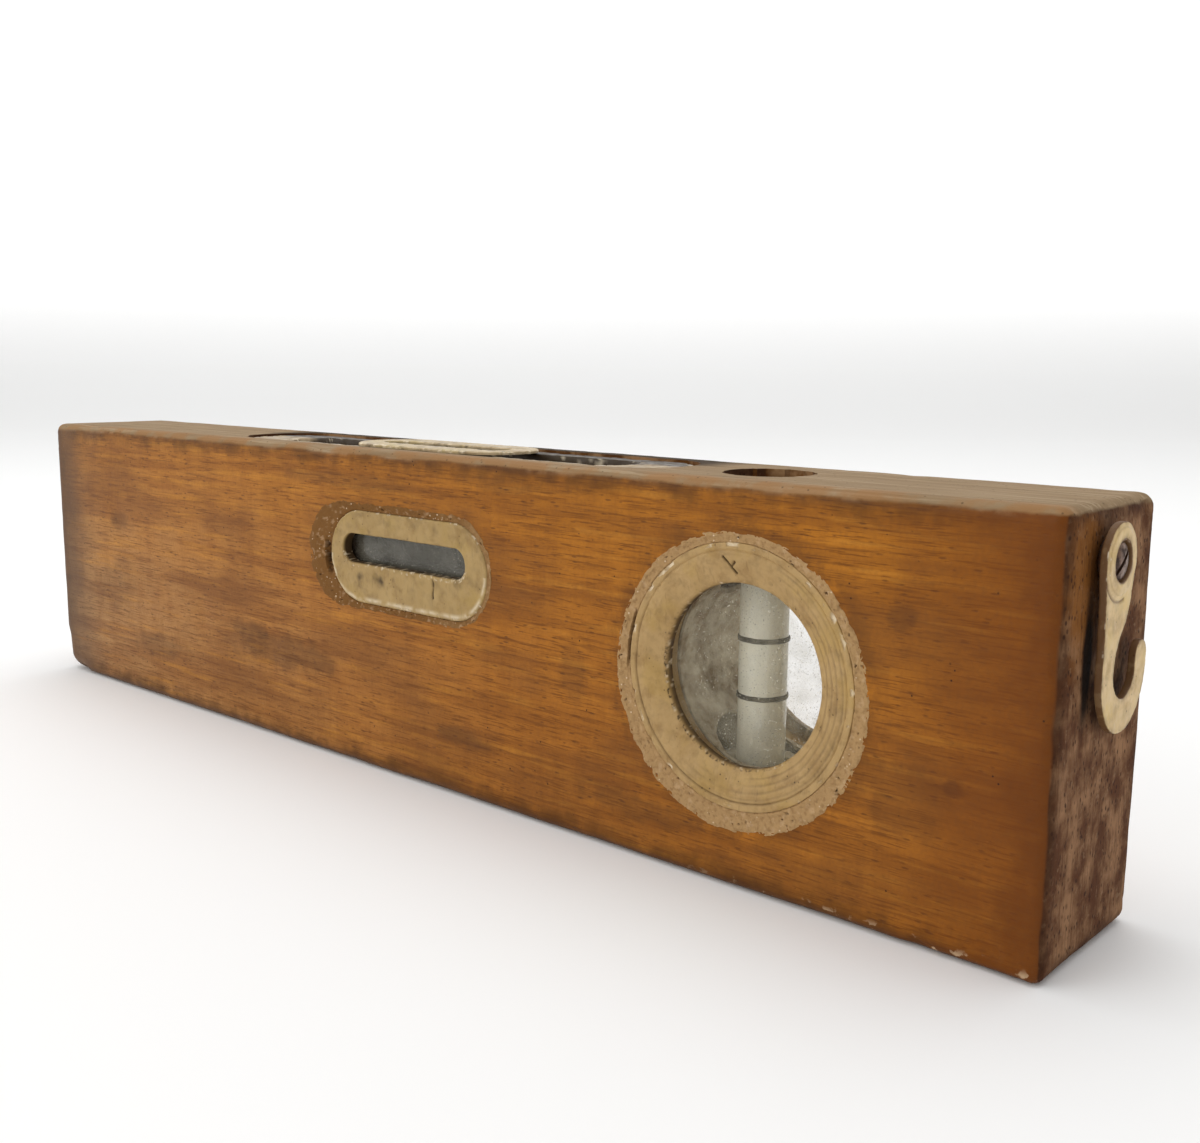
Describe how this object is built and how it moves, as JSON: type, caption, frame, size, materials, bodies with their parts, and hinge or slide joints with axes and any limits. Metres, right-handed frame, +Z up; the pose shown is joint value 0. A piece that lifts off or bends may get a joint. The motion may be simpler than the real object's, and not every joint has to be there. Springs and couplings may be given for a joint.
{
  "type": "spirit level",
  "caption": "Short wooden spirit level with a slotted level vial window, a round plumb vial window, a top sighting plate and a swinging hanging hook on one end.",
  "frame": {"origin": "centre of the block's flat base face", "axes": "+X along the block towards the end with the hanging hook, +Z up from the base to the sighting plate, -Y out of the front face"},
  "size_m": [0.2524, 0.0292, 0.0604],
  "materials": {
    "wood": "worn amber varnish over beech",
    "plastic": "aged cream plastic, dirty and chipped along its edges",
    "putty": "rough brown-tan putty",
    "glass": "clear glass with a film of dust",
    "liquid": "pale yellow-green spirit",
    "bubble": "air",
    "mark": "black paint line",
    "plaster": "dry yellowed plaster",
    "steel": "old tarnished steel"
  },
  "bodies": {
    "level": {"body": "wood", "front_slot_bezel": "plastic", "front_slot_putty": "putty", "front_slot_pane": "glass", "front_port_ring": "plastic", "front_port_putty": "putty", "front_port_window": "glass", "rear_slot_bezel": "plastic", "rear_slot_putty": "putty", "rear_slot_pane": "glass", "rear_port_ring": "plastic", "rear_port_putty": "putty", "rear_port_window": "glass", "top_frame": "plastic", "sight_plate": "plastic", "level_vial": "glass", "level_vial_tip": "glass", "level_liquid": "liquid", "level_mark_left": "mark", "level_mark_right": "mark", "level_bed_left": "plaster", "level_bed_right": "plaster", "plumb_vial": "glass", "plumb_vial_tip": "glass", "plumb_liquid": "liquid", "plumb_mark_lower": "mark", "plumb_mark_upper": "mark", "plumb_bed_lower": "plaster", "plumb_bed_upper": "plaster", "hook_screw": "steel", "hook_washer": "steel"},
    "hook": {"hook": "plastic"},
    "level_bubble": {"level_bubble": "bubble"},
    "plumb_bubble": {"plumb_bubble": "bubble"}
  },
  "joints": [
    {"name": "hook_swing", "type": "hinge", "parent": "level", "child": "hook", "pos_m": [0.1267, -0.0031, 0.0528], "axis": [1, 0, 0], "continuous": true},
    {"name": "level_bubble_travel", "type": "slide", "parent": "level", "child": "level_bubble", "axis": [1, 0, 0], "range_m": [-0.012, 0.012], "stiffness_N_per_m": 1},
    {"name": "plumb_bubble_travel", "type": "slide", "parent": "level", "child": "plumb_bubble", "axis": [0, 0, 1], "range_m": [-0.024, 0], "stiffness_N_per_m": 2, "springref_m": 0.004}
  ]
}
